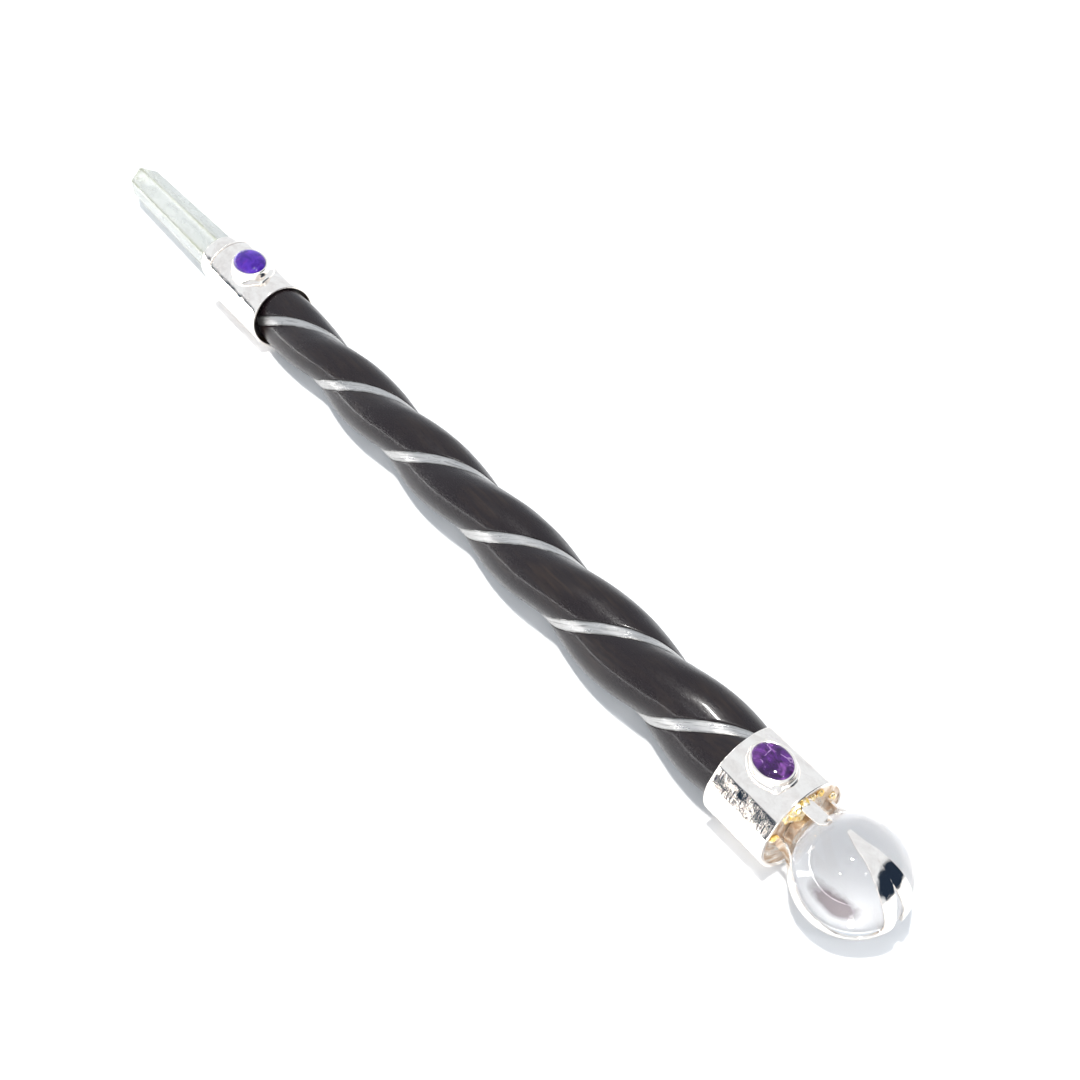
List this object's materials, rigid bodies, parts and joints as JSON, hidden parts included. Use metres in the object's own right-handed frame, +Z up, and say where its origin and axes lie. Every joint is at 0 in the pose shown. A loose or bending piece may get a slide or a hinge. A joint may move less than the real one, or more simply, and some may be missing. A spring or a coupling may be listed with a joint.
{
  "type": "magic wand",
  "caption": "Wand lying on its side: twist-carved dark wood inlaid with silver strips, a faceted quartz point at one end, a clear ball in a claw at the other, oval stones on silver fittings.",
  "frame": {"origin": "centre of the footprint of the lying wand, on the surface it lies on", "axes": "+X along the wand from the quartz point to the ball, +Z up, with both oval stones facing up; the axis rises 0.67 degrees towards the ball"},
  "size_m": [0.2758, 0.0212, 0.0218],
  "materials": {
    "quartz": "clear natural quartz, polished faces",
    "cement": "pale setting cement",
    "silver": "hand-polished silver with fine scratches",
    "amethyst": "polished purple stone",
    "glue": "hard amber glue",
    "ebony": "satin, oiled, close grain",
    "inlay": "dull grey metal strip, scratched along its run",
    "tarnished_silver": "warm brown tarnish on silver",
    "solder": "bright yellowish solder",
    "clear_glass": "clear polished ball"
  },
  "bodies": {
    "root": {"quartz_point": "quartz", "quartz_cement": "cement", "upper_collar": "silver", "upper_shoulder": "silver", "upper_sleeve": "silver", "upper_bezel_plate": "silver", "upper_bezel_wall": "silver", "upper_stone": "amethyst", "upper_glue": "glue", "twist_shaft": "ebony", "inlay_strip_a": "inlay", "inlay_strip_b": "inlay", "lower_glue": "glue", "lower_sleeve": "silver", "end_plate": "tarnished_silver", "lower_bezel_plate": "silver", "lower_bezel_wall": "silver", "lower_stone": "amethyst", "ball_seat": "cement", "claw_fork": "silver", "rear_prong": "silver", "solder_beads": "solder", "clear_ball": "clear_glass"}
  },
  "joints": []
}
